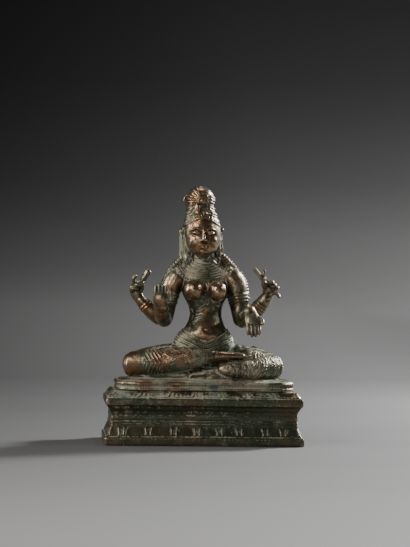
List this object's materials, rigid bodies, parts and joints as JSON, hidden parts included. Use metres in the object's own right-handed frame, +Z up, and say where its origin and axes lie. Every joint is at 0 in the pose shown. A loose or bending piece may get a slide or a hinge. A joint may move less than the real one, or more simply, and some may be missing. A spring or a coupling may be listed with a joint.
{
  "type": "parvati figure",
  "caption": "Cast copper-alloy goddess with raised and lowered hands, seated cross-legged in a tall crown on a rounded seat, above a stepped lotus plinth.",
  "frame": {"origin": "centre of the plinth's underside, on the surface that it stands on", "axes": "+Z up through the figure, -Y out of the figure's front, +X towards the figure's own left side, which is on the viewer's right"},
  "size_m": [0.111, 0.058, 0.1461],
  "materials": {
    "plinth": "old cast bronze, darkened, with pale green deposits in the hollows and blue-green patches",
    "figure": "old cast bronze, worn to warm copper-brown on the high places and green-black in the hollows"
  },
  "bodies": {
    "root": {"plinth": "plinth", "figure": "figure"}
  },
  "joints": []
}
